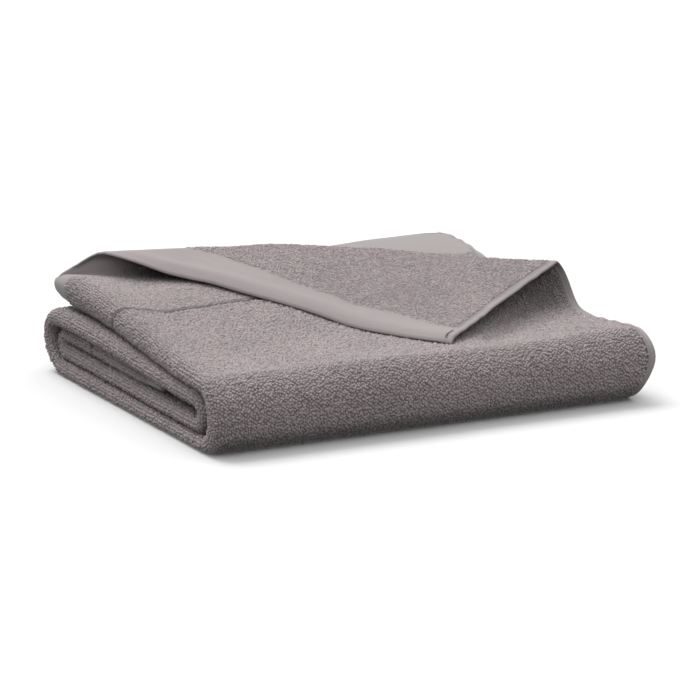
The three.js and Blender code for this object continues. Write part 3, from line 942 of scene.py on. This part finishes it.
def stitch_tree():
    """Stitches in a row along each edge line of the base."""
    maker = NodeMaker("Hem Stitches", Length="Float", Pitch="Float", Thread="Float")
    start = maker.start
    curve = maker.add("GeometryNodeMeshToCurve", {"Mesh": start["Geometry"]})
    rows = maker.add("GeometryNodeResampleCurve", {
        "Curve": curve, "Length": start["Pitch"]}, mode="LENGTH")
    line = maker.add("GeometryNodeMeshLine", {
        "Count": 4, "Start Location": (0.0, 0.0, -0.5), "Offset": (0.0, 0.0, 0.5)},
        mode="END_POINTS")
    path = maker.add("GeometryNodeMeshToCurve", {"Mesh": line})
    height = maker.add("ShaderNodeSeparateXYZ", {0: maker.add("GeometryNodeInputPosition")}, 2)
    bowed = maker.add("GeometryNodeSetPosition", {
        "Geometry": path, "Offset": maker.vector(X=maker.product(height, height, -0.5))})
    ring = maker.add("GeometryNodeCurvePrimitiveCircle", {
        "Resolution": 5, "Radius": 0.5}, mode="RADIUS")
    tube = maker.add("GeometryNodeCurveToMesh", {
        "Curve": bowed, "Profile Curve": ring, "Fill Caps": True})
    tangent, normal = (maker.add("GeometryNodeInput" + way) for way in ("Tangent", "Normal"))
    aim = maker.add("FunctionNodeAxesToRotation", {0: tangent, 1: normal},
                    primary_axis="Z", secondary_axis="X")
    size = maker.vector(X=start["Thread"], Y=start["Thread"], Z=start["Length"])
    return maker.finish(maker.add("GeometryNodeInstanceOnPoints", {
        "Points": rows, "Instance": tube, "Rotation": aim, "Scale": size}))


def painted_darkening(points, air, side):
    """How bright the cloth stays under painted shade: darker where little open air reaches, as between
    the layers, in the loose fold's mouth and beside the turned-back ply's side hem."""
    x, y = points[..., 0], points[..., 1]
    # Painted shade in the loose fold's mouth
    mouth = bell(np.hypot((x - MOUTH[0]) / MOUTH_REACH, (y - MOUTH[1]) / MOUTH_REACH))
    mouth = mouth * smooth((MOUTH_OPEN - air) / MOUTH_FADE)
    # Painted shadow beside the turned-back ply's side hem
    run_x, run_y = BESIDE_RUN
    from_x, from_y = x - BESIDE_START[0], y - BESIDE_START[1]
    down = np.clip((from_x * run_x + from_y * run_y) / (run_x ** 2 + run_y ** 2), 0, 1)
    away = np.hypot(from_x - run_x * down, from_y - run_y * down)
    beside = bell(away / mix(*BESIDE_REACH, down)) * (side > 0)
    # Painted shade wherever little open air reaches
    light = mix(LEAST_LIGHT, 1, smooth((air - LIGHT_FROM) / LIGHT_GROWS))
    return light * (1 - MOUTH_SHADE * mouth) * (1 - mix(*BESIDE_SHADE, down) * beside)


def cut_rounding(distance):
    """How much of its thickness the cloth has near a cut or folded-over edge."""
    inside = np.clip(1 - distance / EDGE_RADIUS, 0, 0.985)
    return np.sqrt(1 - inside * inside)


def soft_wave(points, across, length, from_side, height, free):
    """How far the cloth lies over its smooth form: waves and, by the hems, a ripple, both only
    where it is free and not on the floor."""
    wave = height * unevenness(across, length) * free
    ripple = RIPPLE_HEIGHT * np.sin(
        length / RIPPLE_LENGTH + RIPPLE_SWAY * np.sin(length / RIPPLE_SWAY_LENGTH))
    ripple = ripple * bell(from_side / RIPPLE_REACH)
    return (wave + ripple * free) * smooth(points[..., 2] / WAVES_FADE)


def bare_share(across, from_end, from_side, band, hem):
    """What share of the cloth is flat band or hem, on the outer face and on the inner one."""
    on_hem = 1 - ramp(from_side, (hem - 0.3, hem + 0.6))
    extra = np.where(across > 0, look_up(BAND_EXTRA, np.abs(across)), LOWER_BAND_EXTRA)
    ends = [(band + more - 1, band + more + 3) for more in (0, extra)]
    return [np.maximum(on_hem, 1 - ramp(from_end, limits)) for limits in ends]


# The measures each point carries; the last is the brightness that painted shade leaves
MEASURES = ("from_end", "from_side", "from_border", "open_air", "fullness", "inside", "bare",
            "shelter")


def towel_shape(sizes):
    """The towel's points on both sides of the cloth, and what its loops and materials need to know
    about each of them."""
    across, place = towel_grid()
    length = cloth_lengths(place)
    points, upward = cloth_frame(across, place)
    rows, columns = across.shape
    from_end = np.minimum(length, CLOTH_LENGTH - length)
    from_side = STRIP_WIDTH - np.abs(across)
    band, hem = sizes.band_width / MM, sizes.hem_width / MM
    ground, pressed = sizes.ground_thickness / MM, sizes.pressed_thickness / MM
    pile = smooth((from_end - band) / PILE_FROM_BAND) * smooth((from_side - hem) / PILE_FROM_HEM)
    squeeze = np.minimum(swell(points[..., 0], points[..., 1]), 1)
    half = squeeze * mix(ground, pressed, pile) / 2
    air = open_air(points, upward, half)
    rounding = cut_rounding(from_side) * cut_rounding(from_end)
    wave = soft_wave(points, across, length, from_side, sizes.wave_height / MM, np.maximum(*air))
    on_top = place > TOP
    roll = EDGE_ROLL * np.clip(1 - from_end / EDGE_ROLL_WIDTH, 0, 1) ** 2
    roll = roll * ramp(across, EDGE_ROLL_GROWS) * on_top
    welt = EDGE_WELT * bell((from_end - EDGE_WELT_PLACE) / EDGE_WELT_WIDTH)
    welt = welt * ramp(across, EDGE_WELT_GROWS) * on_top
    faces = []
    for side, free in zip(SIDES, air):
        thick = half * rounding - GROUND_SINKS * (pile * smooth(free / SEEN))
        face = points + upward * (side * thick + wave)[..., None]
        face[..., 2] = np.where(face[..., 2] < LIES_FLAT, 0.0, face[..., 2])
        faces.append(face + upward * roll[..., None])
    faces[1] = faces[1] - upward * welt[..., None]
    warp = np.gradient(points, axis=0)
    warp /= np.maximum(np.linalg.norm(warp, axis=-1, keepdims=True), 1e-9)
    border = look_up(BORDER_LINE, across)
    loss = FULLNESS_LOSS * smooth((border - from_end) / LOSS_FROM_LINE)
    loss = loss * ramp(np.abs(across), LOSS_FROM_FOLD)

    def both(outer, inner):
        return np.concatenate([outer.ravel(), inner.ravel()])

    return {
        "points": (np.concatenate([face.reshape(-1, 3) for face in faces]) - MIDDLE) * MM,
        "faces": np.concatenate(grid_faces(rows, columns)),
        "uv": np.stack([both(across, across), both(length, length)], 1) * MM,
        "normal": np.concatenate([(side * upward).reshape(-1, 3) for side in SIDES]),
        "warp": np.tile(warp.reshape(-1, 3), (2, 1)),
        "from_end": both(from_end, from_end),
        "from_side": both(from_side, from_side),
        "from_border": both(from_end - border, np.full(across.shape, NO_BORDER)),
        "open_air": both(*air),
        "fullness": both(1 - loss, np.where(across > 0, *INNER_FULLNESS)),
        "inside": both(np.zeros(across.shape), np.where(across > 0, 1.0, 0.5)),
        "bare": both(*bare_share(across, from_end, from_side, band, hem)),
        # How much painted shade darkens each face
        "shelter": both(*(painted_darkening(points, free, side) for side, free in zip(SIDES, air))),
        "across": across[0], "length": length,
    }


def measured_mesh(name, shape):
    """The towel's mesh, with its measures and its flat layout as UV."""
    mesh = new_mesh(name, shape["points"], faces=shape["faces"])
    for measure in MEASURES:
        add_measure(mesh, measure, shape[measure])
    layer = mesh.uv_layers.new(name="flat_cloth")
    corners = np.empty(len(mesh.loops), np.int32)
    mesh.loops.foreach_get("vertex_index", corners)
    layer.data.foreach_set("uv", shape["uv"][corners].astype(np.float32).ravel())
    return mesh


# What each root of a loop carries: its place, the two directions, and then the measures
UPRIGHT, WARP = slice(3, 6), slice(6, 9)


def of_roots(roots, measure):
    return roots[:, WARP.stop + MEASURES.index(measure)]


def more_or_less(start, targets):
    """Clumps of fuller and of thinner pile, from -1 to 1."""
    one_way = np.sin(start / 1.3 + 2 * np.sin(targets / 3.1))
    return one_way * np.sin(targets / 1.1 + 2 * math.sin(start / 2.7))


def pile_points(shape, loops, sizes):
    """The roots of the loops, in the rows of the weave with a little stray, sorted by the side of
    the towel that they show on."""
    across, length = shape["across"], shape["length"]
    chance = np.random.default_rng(loops.seed)
    step_across, step_along = loops.pitch_across / MM, loops.pitch_along / MM
    hem, half_border = sizes.hem_width / MM, sizes.border_width / MM / 2
    starts = np.arange(-STRIP_WIDTH + 1, STRIP_WIDTH - 1, step_across)
    walls = ("front", "left", "back", "right")
    found = {name: [] for name in ("top_left", "top_right", "flap", *walls)}
    channels = [shape[name].reshape(2, *length.shape, -1)
                for name in ("points", "normal", "warp", *MEASURES)]
    for inner, grid in enumerate(np.concatenate(channels, 3)):
        for row, start in enumerate(starts):
            column = int(np.searchsorted(across, start, side="right") - 1)
            share = (start - across[column]) / (across[column + 1] - across[column])
            strand = mix(grid[:, column], grid[:, column + 1], share)
            run = mix(length[:, column], length[:, column + 1], share)
            targets = np.arange(step_along * (0.5 * (row % 2) + 0.25), CLOTH_LENGTH, step_along)
            jitter = chance.uniform(-JITTER_ALONG, JITTER_ALONG, len(targets))
            targets = targets + jitter * step_along
            roots = np.stack([np.interp(targets, run, channel) for channel in strand.T], 1)
            stray = chance.uniform(-STRAY_ACROSS, STRAY_ACROSS, (len(targets), 1))
            sideways = np.cross(roots[:, UPRIGHT], roots[:, WARP])
            roots[:, :3] += sideways * (stray * step_across * MM)
            from_border, full = of_roots(roots, "from_border"), of_roots(roots, "fullness")
            kept = (
                (of_roots(roots, "open_air") > ROOT_AIR) & (roots[:, 2] > LOWEST_ROOT)
                & (of_roots(roots, "bare") < chance.uniform(*BARE_LIMITS, len(targets)))
                & (of_roots(roots, "from_side") > hem + chance.uniform(*PAST_HEM, len(targets)))
                & (np.abs(from_border) > half_border)
            )
            full *= 1 + CLUMPING * more_or_less(start, targets)
            full += LINE_WELT * bell((from_border - LINE_WELT_PLACE) / LINE_WELT_WIDTH)
            roots = roots[kept]
            faces_x, faces_y, faces_z = roots[:, UPRIGHT].T
            wall = np.argmax([-faces_y, -faces_x, faces_y, faces_x], 0)
            which = np.where(faces_z > TOP_LEVEL, 0, 1 + wall)
            level = "flap" if inner else "top_left" if abs(start) < TOP_PARTED else "top_right"
            for k, name in enumerate((level, *walls)):
                chosen = roots[which == k]
                if len(chosen):
                    found[name].append(chosen)
    return {name: np.concatenate(parts) for name, parts in found.items() if parts}


def pile_mesh(name, roots):
    """A mesh of bare points at the roots of loops."""
    mesh = new_mesh(name, roots[:, :3])
    add_measure(mesh, "upright", roots[:, UPRIGHT])
    add_measure(mesh, "warp", roots[:, WARP])
    # The loops carry the cloth's painted shade at their roots
    for measure in ("from_end", "from_side", "fullness", "shelter"):
        add_measure(mesh, measure, of_roots(roots, measure))
    return mesh


def seam_lines(shape, sizes, seam):
    """Rows of points along the side hems, on each side of the cloth that shows."""
    across, place = towel_grid()
    inset = STRIP_WIDTH - seam.from_hem_edge / MM
    half = sizes.ground_thickness / MM / 2 + SEAM_LIFT
    rows = np.arange(len(place))
    air = shape["open_air"].reshape(2, *across.shape)
    points, edges = [], []
    count = 0
    for ply in (-1, 1):
        column = int(np.argmin(np.abs(across[0] - ply * inset)))
        places = np.interp(np.arange(0, len(place) - 1, SEAM_STEP), rows, place[:, column])
        centre, upward = cloth_frame(np.full(len(places), ply * inset), places)
        squeeze = np.minimum(swell(centre[:, 0], centre[:, 1]), 1)
        for side, free in zip(SIDES, air):
            line = centre + upward * (side * half * squeeze)[:, None]
            seen = np.interp(places, place[:, column], free[:, column]) > SEEN
            begin = count + np.nonzero(seen[:-1] & seen[1:])[0]
            edges.append(np.stack([begin, begin + 1], 1))
            points.append((line - MIDDLE) * MM)
            count += len(line)
    used, index = np.unique(np.concatenate(edges), return_inverse=True)
    return new_mesh("seams", np.concatenate(points)[used], edges=index.reshape(-1, 2))


def studio_floor(colours):
    corners = np.array([(-14, -6, 0), (14, -6, 0), (14, 30, 0), (-14, 30, 0)], float)
    floor = show(new_mesh("floor", corners - [0, 0, FLOOR_DROP], faces=[range(4)], flat=True))
    plain = Finish(bpy.data.materials.new("floor"), Base_Color=colours.floor, Roughness=0.8,
                   Specular_IOR_Level=0.1)
    floor.data.materials.append(plain.data)
    floor.visible_diffuse = False
    return floor


def studio_world():
    """A white sky, brightest overhead."""
    sky = Finish(bpy.data.worlds.new("studio"), "Background", Color=(1, 1, 1))
    ways = {0: sky.place("Generated"), 1: SKY_TOWARD}
    toward = sky.node("VectorMath", ways, "Value", operation="DOT_PRODUCT")
    return sky.end(Strength=sky.node("MapRange", {"Value": toward, **SKY_STRENGTH}))


def photo_camera():
    lens = bpy.data.cameras.new("camera")
    lens.lens, lens.sensor_width = CAMERA_LENS, 36.0
    lens.clip_start, lens.clip_end = 0.05, 100
    camera = bpy.data.objects.new("camera", lens)
    down, right = LOOKS_DOWN, LOOKS_RIGHT
    forward = np.array([math.cos(down) * math.sin(right), math.cos(down) * math.cos(right),
                        -math.sin(down)])
    target = (LOOKS_AT - MIDDLE) * MM
    camera.location = Vector(target - forward * CAMERA_DISTANCE * MM)
    camera.rotation_euler = Vector(forward).to_track_quat("-Z", "Y").to_euler()
    return camera


class TOWEL_OT_cloth(bpy.types.Operator):
    """Builds the folded cloth with its hems and bands"""
    bl_idname = "towel.cloth"
    bl_label = "Folded Cloth"

    def execute(self, context):
        scene = context.scene
        mesh = measured_mesh("towel_cloth", towel_shape(scene.towel_sizes))
        piece = finished(show(mesh), cloth_finish(scene.towel_colours, scene.towel_sizes))
        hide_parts("towel")
        return {"FINISHED"}


class TOWEL_OT_loops(bpy.types.Operator):
    """Covers the open sides of the cloth with loops of yarn"""
    bl_idname = "towel.loops"
    bl_label = "Terry Loops"

    def execute(self, context):
        scene = context.scene
        sizes, loops = scene.towel_sizes, scene.towel_loops
        material = loop_finish(scene.towel_colours)
        knob, tree = one_loop(), loop_tree()
        found = pile_points(towel_shape(sizes), loops, sizes)
        for k, (name, roots) in enumerate(found.items()):
            grown("loops_" + name, pile_mesh("roots_" + name, roots), tree, Loop=knob,
                  Height=loops.height, Width=loops.width, Lean=loops.lean,
                  Band=sizes.band_width, Hem=sizes.hem_width, Material=material,
                  Seed=loops.seed + SEED_STEP * k)
        bpy.data.objects.remove(knob)
        return {"FINISHED"}


class TOWEL_OT_stitches(bpy.types.Operator):
    """Sews the hems down with rows of stitches"""
    bl_idname = "towel.stitches"
    bl_label = "Hem Stitches"

    def execute(self, context):
        scene = context.scene
        sizes, seam = scene.towel_sizes, scene.towel_seams
        lines = seam_lines(towel_shape(sizes), sizes, seam)
        grown("hem_stitches", lines, stitch_tree(), Length=seam.stitch_length,
              Pitch=seam.stitch_pitch, Thread=seam.thread_width,
              Material=thread_finish(scene.towel_colours))
        return {"FINISHED"}


class TOWEL_OT_stage(bpy.types.Operator):
    """Adds the floor, the light and the camera of the photograph"""
    bl_idname = "towel.stage"
    bl_label = "Stage"

    def execute(self, context):
        scene = context.scene
        floor = studio_floor(scene.towel_colours)
        scene.world = studio_world()
        for name, energy, spread, turn in SUNS:
            light = bpy.data.lights.new(name, "SUN")
            light.energy, light.angle = energy, math.radians(spread)
            lamp = bpy.data.objects.new(name, light)
            lamp.rotation_euler = [math.radians(angle) for angle in turn]
            scene.collection.objects.link(lamp)
        scene.camera = photo_camera()
        scene.collection.objects.link(scene.camera)
        scene.view_settings.view_transform = "Standard"
        scene.view_settings.look = "None"
        return {"FINISHED"}


class TOWEL_PT_panel(bpy.types.Panel):
    bl_idname = "TOWEL_PT_panel"
    bl_label = "Folded Bath Towel"
    bl_space_type = "VIEW_3D"
    bl_region_type = "UI"
    bl_category = "Towel"

    def draw(self, context):
        for group in GROUPS:
            values = getattr(context.scene, group)
            for name in values.__annotations__:
                self.layout.prop(values, name)
        for operator in OPERATORS:
            self.layout.operator(operator.bl_idname)


GROUPS = {
    "towel_sizes": TowelSizes, "towel_loops": LoopSizes, "towel_seams": SeamSizes,
    "towel_colours": TowelColours,
}
OPERATORS = (TOWEL_OT_cloth, TOWEL_OT_loops, TOWEL_OT_stitches, TOWEL_OT_stage)
CLASSES = (*GROUPS.values(), *OPERATORS, TOWEL_PT_panel)


def register():
    for one in CLASSES:
        bpy.utils.register_class(one)
    for name, group in GROUPS.items():
        setattr(bpy.types.Scene, name, bpy.props.PointerProperty(type=group))


def unregister():
    for name in GROUPS:
        delattr(bpy.types.Scene, name)
    for one in reversed(CLASSES):
        bpy.utils.unregister_class(one)


def main():
    register()
    build = bpy.ops.towel
    for step in (build.cloth, build.loops, build.stitches, build.stage):
        step()


if __name__ == "__main__":
    main()
